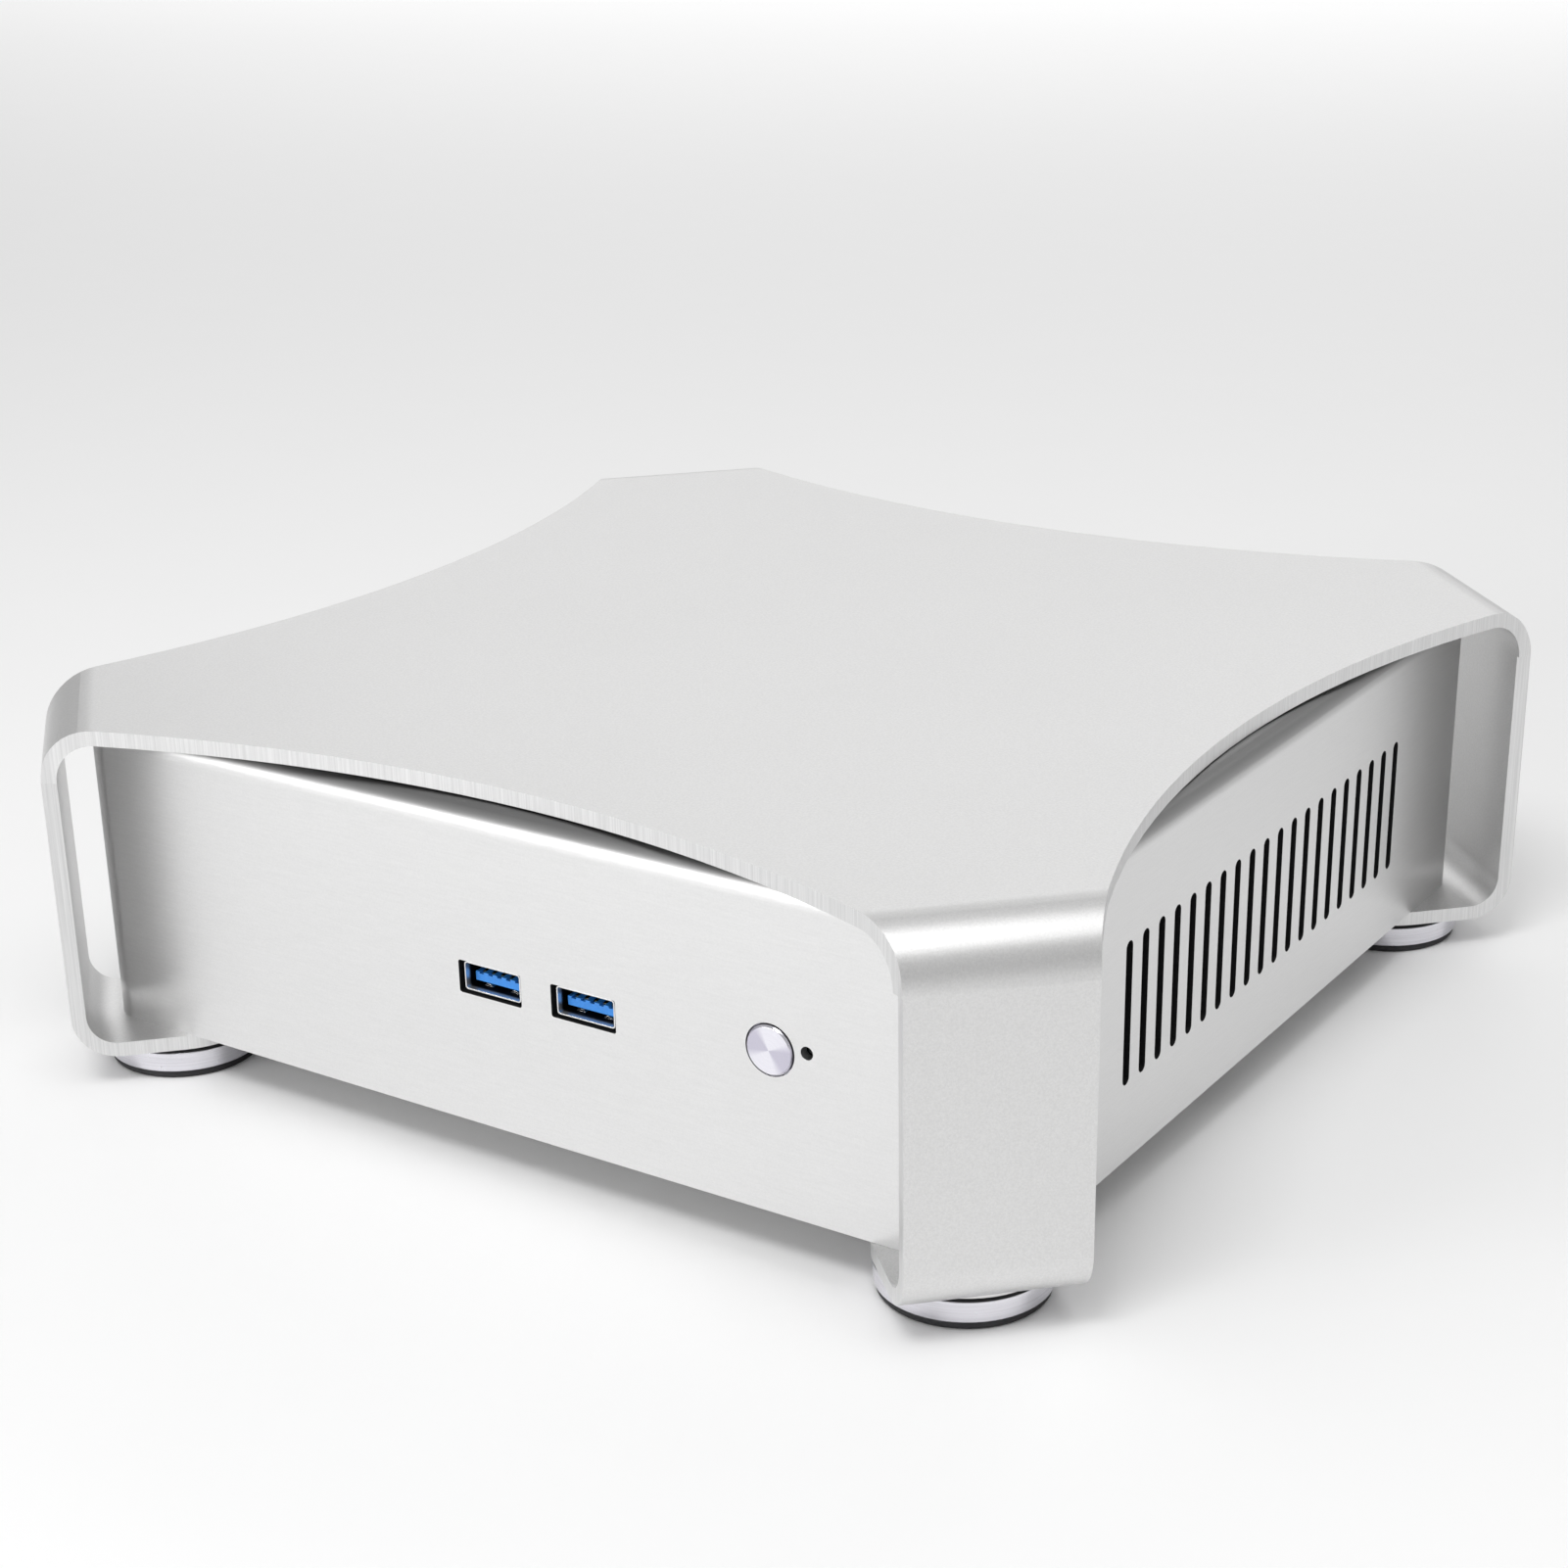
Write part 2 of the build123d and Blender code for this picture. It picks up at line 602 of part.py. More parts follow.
# ---------------------------------------------------------------- mainboard and what it carries
def make_mainboard():
    board = block(-board_w / 2, board_w / 2, board_y0, board_y0 + board_w, board_z, board_top)
    board = fillet(board.edges().filter_by(Axis.Z), 1.5)
    cuts = [rod(x, y, board_z - 1, board_top + 1, 1.9) for x, y in board_holes]
    cuts += [rod(cpu_x + dx, cpu_y + dy, board_z - 1, board_top + 1, 1.8) for dx, dy in around(cooler_screw_xy)]
    return board - cuts


def standoff(x, y):
    post = hexagon(x, y, floor_z, board_z, 5.5)
    post = post + rod(x, y, case_bottom + 0.2, floor_z, m3_r)
    return post - rod(x, y, floor_z + 1.0, board_z + 1, m3_r + fit)


def make_sink():
    x0, x1 = cpu_x - cooler_half, cpu_x + cooler_half
    y0, y1 = cpu_y - cooler_half, cpu_y + cooler_half
    sink = block(x0, x1, y0, y1, sink_z0, sink_z0 + sink_base_t)
    step = (x1 - x0 - fin_t) / (fin_count - 1)
    fin = block(x0, x0 + fin_t, y0, y1, sink_z0 + 1, fin_top)
    sink = sink + [Pos(i * step, 0, 0) * fin for i in range(fin_count)]
    cuts = []
    for dx, dy in around(fan_screw_xy):
        cuts.append(rod(cpu_x + dx, cpu_y + dy, sink_z0 + sink_base_t, fin_top + 1, 2.6))
        cuts.append(rod(cpu_x + dx, cpu_y + dy, sink_z0 + 1, fin_top + 1, m3_r + fit))
    for dx, dy in around(cooler_screw_xy):
        cuts.append(rod(cpu_x + dx, cpu_y + dy, sink_z0 - 1, sink_z0 + 3.2, m3_r + fit))
    return sink - cuts


def make_fan_frame():
    c = Pos(cpu_x, cpu_y, 0)
    frame = extrude(Pos(cpu_x, cpu_y, fin_top) * RectangleRounded(2 * fan_half, 2 * fan_half, 4.0), fan_h)
    frame = frame - rod(cpu_x, cpu_y, fin_top - 1, fan_top + 1, fan_bore_r)
    strut = block(12.0, fan_bore_r + 0.5, -1.6, 1.6, fin_top, fin_top + 2.0)
    frame = frame + [c * Rot(0, 0, a) * strut for a in (45, 135, 225, 315)]
    frame = frame + rod(cpu_x, cpu_y, fin_top, fin_top + 2.0, 16.0)
    frame = frame + rod(cpu_x, cpu_y, fin_top + 2.0, fan_top - 5.0, 4.0)
    frame = frame - rod(cpu_x, cpu_y, fin_top + 1.0, fan_top, shaft_r + bearing_play)
    for dx, dy in around(fan_screw_xy):
        frame = frame - rod(cpu_x + dx, cpu_y + dy, fin_top - 1, fan_top + 1, 2.15)
    return frame


def make_stator():
    core = rod(cpu_x, cpu_y, fin_top + 4.0, fan_top - 5.5, 13.6) - rod(cpu_x, cpu_y, fin_top, fan_top, 4.05)
    gap = block(5.5, 20, -1.1, 1.1, fin_top + 3, fan_top)
    return core - [Pos(cpu_x, cpu_y, 0) * Rot(0, 0, 30 + 60 * i) * gap for i in range(6)]


def fan_blade():
    """A cambered blade, pitched more at the hub than at the tip."""
    def section(r, pitch, chord):
        mid = fan_top - 6.6
        plane = Plane(origin=(r, 0, mid), x_dir=(0, cos(radians(pitch)), sin(radians(pitch))), z_dir=(1, 0, 0))
        with BuildSketch(plane) as face:
            with BuildLine():
                ThreePointArc((-chord / 2, 0), (0, -1.5), (chord / 2, 0))
                ThreePointArc((chord / 2, 0), (0, -0.5), (-chord / 2, 0))
            make_face()
        return face.sketch

    return loft([section(hub_r - 0.8, 42, 14.0), section(30.0, 34, 19.0), section(41.8, 27, 22.0)])


def make_rotor():
    hub = rod(cpu_x, cpu_y, fin_top + 2.6, fan_top - 0.6, hub_r)
    hub = fillet(hub.edges().group_by(Axis.Z)[-1], 1.5)
    hub = hub - rod(cpu_x, cpu_y, fin_top, fan_top - 2.2, 16.6)
    shaft = rod(cpu_x, cpu_y, fin_top + 1.4, fan_top - 2.0, shaft_r)
    blade = fan_blade()
    blades = [Pos(cpu_x, cpu_y, 0) * Rot(0, 0, 360 / blade_count * i) * blade for i in range(blade_count)]
    return hub + shaft + blades


def make_magnet():
    ring = rod(cpu_x, cpu_y, fin_top + 3.2, fan_top - 3.0, 16.6)
    return ring - rod(cpu_x, cpu_y, fin_top, fan_top, 14.2)


def memory():
    """Sockets with their latching arms, modules lying flat and the modules' chips."""
    sockets, modules, chips = [], [], []
    for level, slot_x in enumerate(memory_slot_x):
        z1 = board_top + 5.2 + 5.0 * level
        body = block(slot_x, slot_x + 4.2, memory_y0, memory_y1, board_top, z1)
        card = block(slot_x + 2.7, slot_x + 23.7, memory_y0 + 1.2, memory_y1 - 1.2, z1 - 2.4, z1 - 1.2)
        for y in (memory_y0, memory_y1 - 1.0):
            body = body + block(slot_x + 4.2, memory_arm_x, y, y + 1.0, z1 - 3.0, z1 - 0.6)
            if level == 0:
                body = body + block(memory_arm_x - 1.5, memory_arm_x, y, y + 1.0, board_top, z1 - 3.0)
        sockets.append(body - card)
        modules.append(card)
        chips += [block(slot_x + 9.0, slot_x + 19.0, y, y + 11.0, z1 - 1.2, z1 - 0.2) for y in memory_chip_y]
    return sockets, modules, chips


def make_headers():
    """Black connectors on the mainboard: supply, front ports, switch and drive."""
    x0, _, y0, _ = supply_header
    supply = block(*supply_header, board_top, board_top + 12.5)
    pocket = block(x0 + 1.1, x0 + 4.6, y0 + 1.0, y0 + 4.6, board_top + 3.0, board_top + 14)
    pockets = [Pos(4.25 * i, dy, 0) * pocket for i in range(12) for dy in (0.0, 4.4)]
    return [supply - pockets] + [block(*box, board_top, board_top + h) for *box, h in small_headers]


def make_chipset_sink():
    half = chipset_w / 2
    x0, y0, y1 = chipset_x - half, chipset_y - half, chipset_y + half
    base = block(x0, x0 + chipset_w, y0, y1, board_top, board_top + 2.4)
    fin = block(x0, x0 + 1.12, y0, y1, board_top + 1.0, board_top + 10.0)
    return base + [Pos(3.36 * i, 0, 0) * fin for i in range(9)]


def make_coil(x):
    half = coil_w / 2
    return block(x - half, x + half, coil_y - half, coil_y + half, board_top, board_top + coil_h)


def make_capacitor(x):
    can = rod(x, can_y, board_top, board_top + can_h, can_r)
    can = fillet(can.edges().group_by(Axis.Z)[-1], 0.5)
    cross = Box(4.2, 0.3, 0.4)
    return can - Pos(x, can_y, board_top + can_h) * (cross + Rot(0, 0, 90) * cross)


def make_cell():
    cell = rod(cell_x, cell_y, board_top + 1.0, board_top + 4.2, cell_r)
    return fillet(cell.edges().group_by(Axis.Z)[-1], 0.4)


def make_cell_holder():
    holder = rod(cell_x, cell_y, board_top, board_top + 4.2, cell_r + 1.6)
    return holder - rod(cell_x, cell_y, board_top + 1.0, board_top + 6, cell_r + 0.1)


# ---------------------------------------------------------------- rear ports
def make_video_port():
    x, w, h = video_port
    z0 = board_top
    body = block(x - w / 2, x + w / 2, 91.5, port_face_y, z0, z0 + h)
    pts = [(-7.0, 5.2), (7.0, 5.2), (7.0, 2.8), (5.2, 0.9), (-5.2, 0.9), (-7.0, 2.8)]
    wire = Polyline(*[(x + px, 93.0, z0 + pz) for px, pz in pts], close=True)
    mouth = extrude(make_face(wire), 12.0, dir=(0, 1, 0))
    tongue = block(x - 5.8, x + 5.8, 92.5, port_face_y - 1.2, z0 + 3.2, z0 + 4.2)
    return body - mouth + tongue


def usb_stack_shell(port):
    x, w, h = port
    body = block(x - w / 2, x + w / 2, 86.0, port_face_y, board_top, board_top + h)
    mouths = [bar_y(x, board_top + dz, w - 0.8, 5.2, 87.0, port_face_y + 1, 0.5) for dz in usb_level]
    return body - mouths


def usb_stack_tongues(port):
    x = port[0]
    tongue = block(x - 5.5, x + 5.5, 87.0, port_face_y - 1.5, board_top + 0.1, board_top + 1.9)
    return [Pos(0, 0, dz) * tongue for dz in usb_level]


def make_lan_port():
    x, w, h = lan_port
    body = block(x - w / 2, x + w / 2, 82.0, port_face_y, board_top, board_top + h)
    mouth = block(x - 6.0, x + 6.0, 89.0, port_face_y + 1, board_top + 2.4, board_top + 9.6)
    notch = block(x - 3.0, x + 3.0, 89.0, port_face_y + 1, board_top + 9.5, board_top + 12.2)
    return body - mouth - notch


def audio_jack(port):
    x, w, h = port
    z = board_top + 6.5
    body = block(x - w / 2, x + w / 2, 89.0, rear_y0 - 0.5, board_top, board_top + h)
    barrel = rod_y(x, z, rear_y0 - 0.5, port_face_y, 3.6)
    return body + barrel - rod_y(x, z, 90.0, port_face_y + 1, 1.8)


def make_jack():
    """Threaded power inlet with a centre pin, its flange outside the panel."""
    body = rod_y(jack_x, jack_z, 88.0, rear_y1, 3.85)
    flange = rod_y(jack_x, jack_z, rear_y1, rear_y1 + 1.4, 4.6)
    flange = fillet(flange.edges().group_by(Axis.Y)[-1], 0.4)
    body = body + flange - rod_y(jack_x, jack_z, 94.0, rear_y1 + 3, 2.8)
    return body + rod_y(jack_x, jack_z, 93.5, rear_y1 + 0.2, 1.05)


def make_jack_nut():
    face = Plane(origin=(jack_x, rear_y0 - 2.0, jack_z), x_dir=(1, 0, 0), z_dir=(0, 1, 0))
    nut = extrude(face * RegularPolygon(5.0, 6, major_radius=False), 2.0)
    return nut - rod_y(jack_x, jack_z, rear_y0 - 3, rear_y0 + 1, 3.9)


# ---------------------------------------------------------------- drive and its bracket
def make_drive():
    x0, x1, half_l = drive_x - drive_w / 2, drive_x + drive_w / 2, drive_l / 2
    body = block(x0, x1, -half_l, half_l, drive_z0, drive_z0 + drive_t)
    body = fillet(body.edges().filter_by(Axis.Z), 2.0)
    cuts = [block(drive_x - 22.0, drive_x + 20.0, -half_l - 1, -half_l + 6, drive_z0 + 1.5, drive_z0 + 5.0)]
    cuts += [Pos(x, y, drive_screw_z) * Rot(0, 90, 0) * Cylinder(m3_r + fit, 8.0)
             for x in (x0, x1) for y in drive_screw_y]
    return body - cuts


def make_drive_bracket():
    x0, x1 = drive_x - ear_x, drive_x + ear_x
    bracket = block(x0, x1, -63.0, 63.0, top_in - 1.0, top_in)
    for ear_x0 in (x0, x1 - ear_t):
        bracket = bracket + block(ear_x0, ear_x0 + ear_t, -50.0, 50.0, drive_z0 + 0.5, top_in)
    hole = Rot(0, 90, 0) * Cylinder(1.7, 6.0)
    cuts = [Pos(x, y, drive_screw_z) * hole for x in (x0, x1) for y in drive_screw_y]
    cuts.append(block(drive_x - 20, drive_x + 20, -30, 30, top_in - 2, top_in + 1))
    return bracket - cuts


def drive_screws():
    screw = pan_screw(m3_r, 4.2, 2.5, 0.7)
    return [Pos(drive_x + sx * ear_x, y, drive_screw_z) * Rot(0, 90 * sx, 0) * screw
            for sx in (-1, 1) for y in drive_screw_y]


# ---------------------------------------------------------------- inside leads
def lead(points, r):
    """Round lead through the points, with each corner's arc as large as its two runs allow."""
    pts = [Vector(*p) for p in points]
    radii = []
    for a, b, c in zip(pts, pts[1:], pts[2:]):
        turn = radians((b - a).get_angle(c - b))
        radii.append(0.45 * min((b - a).length, (c - b).length) / tan(turn / 2))
    path = FilletPolyline(*pts, radius=radii)
    tube = sweep(Plane(origin=pts[0], z_dir=path % 0) * Circle(r), path=path)
    share = tube.volume / (pi * r**2 * path.length)
    print("lead radii", [round(v, 1) for v in radii], "volume over section times length", round(share, 4))
    return tube


# ---------------------------------------------------------------- write every node
corners = {"front_left": (-1, -1), "front_right": (1, -1), "rear_left": (-1, 1), "rear_right": (1, 1)}
feet = around(foot_xy)

save("x_frame", make_frame())
save("case_shell", make_shell())
save("base_plate", make_base())
save("rear_panel", make_rear_panel())
save("io_shield", make_io_shield())
save("corner_posts", [corner_post(sx, sy) for sx, sy in corners.values()])
save("side_rails", [side_rail(sx) for sx in (-1, 1)])

disc = foot_disc()
pad = foot_pad()
for name, (sx, sy) in corners.items():
    save(f"foot_disc_{name}", Pos(sx * foot_xy, sy * foot_xy, 0) * disc)
save("foot_pads", [Pos(x, y, 0) * pad for x, y in feet])
foot_screw = UP * pan_screw(m4_r, 15.0, 3.9, 2.2)
save("foot_screws", [Pos(x, y, 4.6) * foot_screw for x, y in feet])
inside_screw = UP * pan_screw(m3_r, 4.0, 2.9, 1.9)
save("frame_screws", [Pos(x, y, top_in) * inside_screw for x, y in around(frame_screw_xy)])
rail_screw = UP * flat_screw(m3_r, 6.0, 2.95, base_t)
rail_x = x_in - rail_w / 2
save("base_screws", [Pos(x, y, case_bottom) * rail_screw for x in (-rail_x, rail_x) for y in rail_screw_y])
rear_screw = FROM_BACK * pan_screw(m3_r, 7.0, 2.9, 0.95)
save("rear_screws", [Pos(x, rear_y1, z) * rear_screw for x in (-foot_xy, foot_xy) for z in rear_screw_z])

save("power_button_cap", make_cap())
save("button_spring", make_spring())
save("button_guide", make_guide())
save("switch_board", make_switch_board())
save("power_switch", make_switch())
save("status_led", make_led())
guide_screw = FROM_BACK * pan_screw(m2_r, 6.0, 1.9, 1.3)
guide_screws = [Pos(x, switch_board_y + 1.6, guide_z) * guide_screw for x in guide_boss_x]

save("front_port_shells", [front_port_shell(x) for x in usb_x])
save("front_port_tongues", [front_port_tongue(x) for x in usb_x])
save("front_port_contacts", [c for x in usb_x for c in front_port_contacts(x)])
save("front_port_board", make_front_board())
save("front_port_bracket", make_front_bracket())
save("small_screws", front_bracket_screws() + guide_screws)

save("mainboard", make_mainboard())
save("board_standoffs", [standoff(x, y) for x, y in board_holes])
top_screw = pan_screw(m3_r, 5.0, 2.9, 1.9)
save("board_screws", [Pos(x, y, board_top) * top_screw for x, y in board_holes])
package = block(-18.5, 18.5, -18.5, 18.5, board_top, board_top + 1.6)
save("processor_package", Pos(cpu_x, cpu_y, 0) * package)
lid = fillet(block(-15, 15, -15, 15, board_top + 1.6, sink_z0).edges().filter_by(Axis.Z), 1.5)
save("processor_lid", Pos(cpu_x, cpu_y, 0) * lid)
save("cooler_sink", make_sink())
sink_screw = UP * pan_screw(m3_r, 8.5, 2.9, 1.9)
save("cooler_screws", [Pos(cpu_x + dx, cpu_y + dy, board_z) * sink_screw for dx, dy in around(cooler_screw_xy)])
save("fan_frame", make_fan_frame())
save("fan_stator", make_stator())
save("fan_rotor", make_rotor())
save("fan_magnet", make_magnet())
fan_screw = pan_screw(m3_r, 36.0 - 0.2, 2.9, 1.6)
save("fan_screws", [Pos(cpu_x + dx, cpu_y + dy, fan_top) * fan_screw for dx, dy in around(fan_screw_xy)])

sockets, modules, chips = memory()
save("memory_sockets", sockets)
save("memory_modules", modules)
save("memory_chips", chips)
save("board_headers", make_headers())
save("chipset_sink", make_chipset_sink())
save("board_coils", [make_coil(x + coil_w / 2) for x in supply_row_x])
save("board_capacitors", [make_capacitor(x) for x in supply_row_x])
save("battery_holder", make_cell_holder())
save("coin_cell", make_cell())

save("video_port", make_video_port())
save("rear_port_shells", [usb_stack_shell(p) for p in usb_stacks])
save("rear_port_tongues", [t for p in usb_stacks for t in usb_stack_tongues(p)])
save("network_port", make_lan_port())
save("audio_jacks", [audio_jack(p) for p in audio_ports])
save("power_jack", make_jack())
save("power_jack_nut", make_jack_nut())

leads = ((jack_route, 2.0), (port_route, 2.2), (switch_route, 1.2), (drive_route, 1.6))
save("inner_leads", [lead(route, r) for route, r in leads])
save("drive", make_drive())
save("drive_bracket", make_drive_bracket())
save("drive_screws", drive_screws())
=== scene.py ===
import json
import math

import bpy
from mathutils import Matrix, Vector


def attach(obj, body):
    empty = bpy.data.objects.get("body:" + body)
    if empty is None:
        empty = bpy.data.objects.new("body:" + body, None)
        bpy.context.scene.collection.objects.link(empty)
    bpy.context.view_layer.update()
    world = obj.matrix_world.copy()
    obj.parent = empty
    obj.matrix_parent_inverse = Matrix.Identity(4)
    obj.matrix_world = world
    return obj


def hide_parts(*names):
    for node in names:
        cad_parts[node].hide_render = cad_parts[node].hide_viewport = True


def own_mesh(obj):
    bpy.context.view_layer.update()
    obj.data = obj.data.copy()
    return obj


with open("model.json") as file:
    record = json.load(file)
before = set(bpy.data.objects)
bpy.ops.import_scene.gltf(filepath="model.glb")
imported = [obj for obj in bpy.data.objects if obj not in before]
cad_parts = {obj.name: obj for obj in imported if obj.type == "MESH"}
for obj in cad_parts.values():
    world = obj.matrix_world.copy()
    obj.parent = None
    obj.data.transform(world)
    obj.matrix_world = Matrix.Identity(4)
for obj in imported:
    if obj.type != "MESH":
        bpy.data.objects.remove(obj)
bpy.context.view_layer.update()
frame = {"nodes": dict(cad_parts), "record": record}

slotOf = {s["node"]: s["material_slot"] for s in frame["record"]["subparts"]}
bodyOf = {n: b for b, ns in frame["record"]["behaviour"]["bodies"].items() for n in ns}
mm = 0.001


class Wire:  # a node's output, so that shader maths reads as plain sums
    def __init__(self, recipe, socket):
        self.recipe = recipe
        self.socket = socket

    def sums(self, kind, other, swap=False):
        pair = (other, self) if swap else (self, other)
        return self.recipe.node("ShaderNodeMath", {"operation": kind}, {0: pair[0], 1: pair[1]})

    def __add__(self, other):
        return self.sums("ADD", other)

    def __radd__(self, other):
        return self.sums("ADD", other, True)

    def __sub__(self, other):
        return self.sums("SUBTRACT", other)

    def __rsub__(self, other):
        return self.sums("SUBTRACT", other, True)

    def __mul__(self, other):
        return self.sums("MULTIPLY", other)

    def __rmul__(self, other):
        return self.sums("MULTIPLY", other, True)


class Recipe:  # one material
    def __init__(self, name):
        self.material = bpy.data.materials.new(name)
        self.material.use_nodes = True
        self.tree = self.material.node_tree
        self.tree.nodes.clear()
        self.shader = self.tree.nodes.new("ShaderNodeBsdfPrincipled")
        end = self.tree.nodes.new("ShaderNodeOutputMaterial")
        self.tree.links.new(self.shader.outputs[0], end.inputs[0])

    def node(self, kind, settings=None, sockets=None, out=0):
        made = self.tree.nodes.new(kind)
        for key, value in (settings or {}).items():
            setattr(made, key, value)
        for key, value in (sockets or {}).items():
            if isinstance(value, Wire):
                self.tree.links.new(value.socket, made.inputs[key])
            else:
                made.inputs[key].default_value = value
        return Wire(self, made.outputs[out])

    def place(self, scale=(1, 1, 1), centre=(0, 0, 0)):  # object coordinates, moved and stretched
        here = self.node("ShaderNodeTexCoord", out=3)
        moved = self.node("ShaderNodeVectorMath", {"operation": "SUBTRACT"}, {0: here, 1: centre})
        return self.node("ShaderNodeMapping", {}, {"Vector": moved, "Scale": scale})

    def noise(self, vector, scale, detail=2.0, rough=0.5):
        sockets = {"Vector": vector, "Scale": scale, "Detail": detail, "Roughness": rough}
        return self.node("ShaderNodeTexNoise", {}, sockets)

    def cells(self, vector, scale, feature="F1"):
        return self.node("ShaderNodeTexVoronoi", {"feature": feature}, {"Vector": vector, "Scale": scale})

    def axis(self, vector, letter):
        return self.node("ShaderNodeSeparateXYZ", {}, {0: vector}, out="XYZ".index(letter))

    def mix(self, share, a, b):  # colours
        return self.node("ShaderNodeMix", {"data_type": "RGBA"}, {0: share, 6: a, 7: b}, out=2)

    def between(self, value, low, high):  # 0..1 as value goes low..high
        return self.node("ShaderNodeMapRange", {}, {0: value, 1: low, 2: high, 3: 0.0, 4: 1.0})

    def bump(self, height, distance):
        return self.node("ShaderNodeBump", {}, {"Height": height, "Distance": distance, "Strength": 1.0})

    def paint(self, **values):
        for key, value in values.items():
            name = key.replace("_", " ")
            if isinstance(value, Wire):
                self.tree.links.new(value.socket, self.shader.inputs[name])
            else:
                self.shader.inputs[name].default_value = value
        return self.material


def grey(v, warm=0.0):
    return (v + warm, v, v - warm, 1)


blasted = {"grain": 2300, "fine": 5200, "light": 0.79, "dark": 0.69, "rough": 0.44, "depth": 0.03 * mm}


def blastedAluminium():  # fine bead blast under clear anodising
    r = Recipe("blastedAluminium")
    at = r.place()
    grain = r.noise(at, blasted["grain"], 3.0, 0.6)
    fine = r.noise(at, blasted["fine"], 1.0)
    cloud = r.noise(at, 9.0, 2.0)
    tone = r.between(grain * 0.7 + fine * 0.3, 0.3, 0.7)
    colour = r.mix(tone, grey(blasted["dark"], 0.002), grey(blasted["light"], 0.002))
    height = grain * 0.6 + fine * 0.4
    rough = blasted["rough"] + (cloud - 0.5) * 0.05 + (fine - 0.5) * 0.12
    return r.paint(Base_Color=colour, Metallic=1.0, Roughness=rough, Normal=r.bump(height, blasted["depth"]))


milled = {"across": 2600, "along": 30, "light": 0.80, "dark": 0.68, "rough": 0.36, "depth": 0.02 * mm}


def milledEdge():  # the cut edge of the sheet, with fine upright cutter marks
    r = Recipe("milledEdge")
    marks = r.noise(r.place((milled["across"], milled["across"], milled["along"])), 1.0, 3.0, 0.7)
    colour = r.mix(r.between(marks, 0.35, 0.65), grey(milled["dark"]), grey(milled["light"]))
    return r.paint(Base_Color=colour, Metallic=1.0, Roughness=milled["rough"] + (marks - 0.5) * 0.12,
                   Normal=r.bump(marks, milled["depth"]))


brushed = {"along": 170, "across": 2600, "light": 0.785, "dark": 0.725, "rough": 0.36, "depth": 0.012 * mm,
           "shade": 0.26, "shadeFrom": 69.3 * mm, "shadeTo": 73.0 * mm}


def brushedAluminium():  # case skin, brushed level all round, with painted shade along its top under the plate
    r = Recipe("brushedAluminium")
    at = r.place()
    lines = r.noise(r.place((brushed["along"], brushed["along"], brushed["across"])), 1.0, 3.0, 0.65)
    grain = r.noise(at, 3000, 2.0)
    cloud = r.noise(at, 11.0, 2.0)
    tone = r.between(lines * 0.5 + grain * 0.5, 0.3, 0.7)
    colour = r.mix(tone, grey(brushed["dark"], 0.001), grey(brushed["light"], 0.001))
    paintedShadeUnder = r.between(r.axis(at, "Z"), brushed["shadeFrom"], brushed["shadeTo"])  # painted shade: the rolled top edge and top get darker under the plate
    colour = r.mix(paintedShadeUnder, colour, grey(brushed["shade"]))
    rough = brushed["rough"] + (lines - 0.5) * 0.1 + (cloud - 0.5) * 0.04
    return r.paint(Base_Color=colour, Metallic=1.0, Roughness=rough,
                   Normal=r.bump(lines * 0.5 + grain * 0.5, brushed["depth"]))


spun = {"middle": (60.3 * mm, -103.5 * mm, 41.45 * mm), "rings": 5200, "rough": 0.16, "depth": 0.05 * mm,
        "paintedFanTurn": 1.22, "paintedFanDull": (0.60, 0.58, 0.68, 1)}


def spunMetal():  # face turned on a lathe: fine circles about an axis along Y, with painted highlight sectors
    r = Recipe("spunButton")
    at = r.place(centre=spun["middle"])
    flat = r.node("ShaderNodeVectorMath", {"operation": "MULTIPLY"}, {0: at, 1: (1, 0, 1)})
    radius = r.node("ShaderNodeVectorMath", {"operation": "LENGTH"}, {0: flat}, out=1)
    circles = r.node("ShaderNodeCombineXYZ", {}, {0: radius * spun["rings"], 1: 0.0, 2: 0.0})
    groove = r.noise(circles, 1.0, 1.0)
    colour = r.mix(r.between(groove, 0.3, 0.7), (0.80, 0.79, 0.86, 1), (0.88, 0.87, 0.93, 1))
    angle = r.node("ShaderNodeMath", {"operation": "ARCTAN2"}, {0: r.axis(at, "Z"), 1: r.axis(at, "X")})
    paintedFan = r.node("ShaderNodeMath", {"operation": "COSINE"}, {0: (angle - spun["paintedFanTurn"]) * 2})
    colour = r.mix(r.between(paintedFan, 0.2, -0.6), colour, spun["paintedFanDull"])  # painted highlight: bright and dull sectors painted onto the turned face
    return r.paint(Base_Color=colour, Metallic=1.0, Roughness=spun["rough"] + (groove - 0.5) * 0.06,
                   Normal=r.bump(groove, spun["depth"]))


def moulded(name, colour, rough=0.5, grain=2500, depth=0.01 * mm, metal=0.0, spread=0.15):  # plastic, rubber
    r = Recipe(name)
    at = r.place()
    fine = r.noise(at, grain, 2.0)
    cloud = r.noise(at, 60.0, 2.0)
    low = tuple(c * (1 - spread) for c in colour) + (1,)
    high = tuple(min(1, c * (1 + spread)) for c in colour) + (1,)
    shade = r.mix(r.between(cloud * 0.5 + fine * 0.5, 0.35, 0.65), low, high)
    return r.paint(Base_Color=shade, Metallic=metal, Roughness=rough + (fine - 0.5) * 0.15,
                   Normal=r.bump(fine, depth))


def plated(name, colour, rough=0.25, along=(300, 300, 300)):  # steel and plated metal with faint drawing lines
    r = Recipe(name)
    lines = r.noise(r.place(along), 1.0, 3.0)
    spots = r.noise(r.place(), 900, 2.0)
    low = tuple(c * 0.86 for c in colour) + (1,)
    shade = r.mix(r.between(lines, 0.3, 0.7), low, tuple(colour) + (1,))
    return r.paint(Base_Color=shade, Metallic=1.0, Roughness=rough + (spots - 0.5) * 0.16,
                   Normal=r.bump(spots, 0.006 * mm))


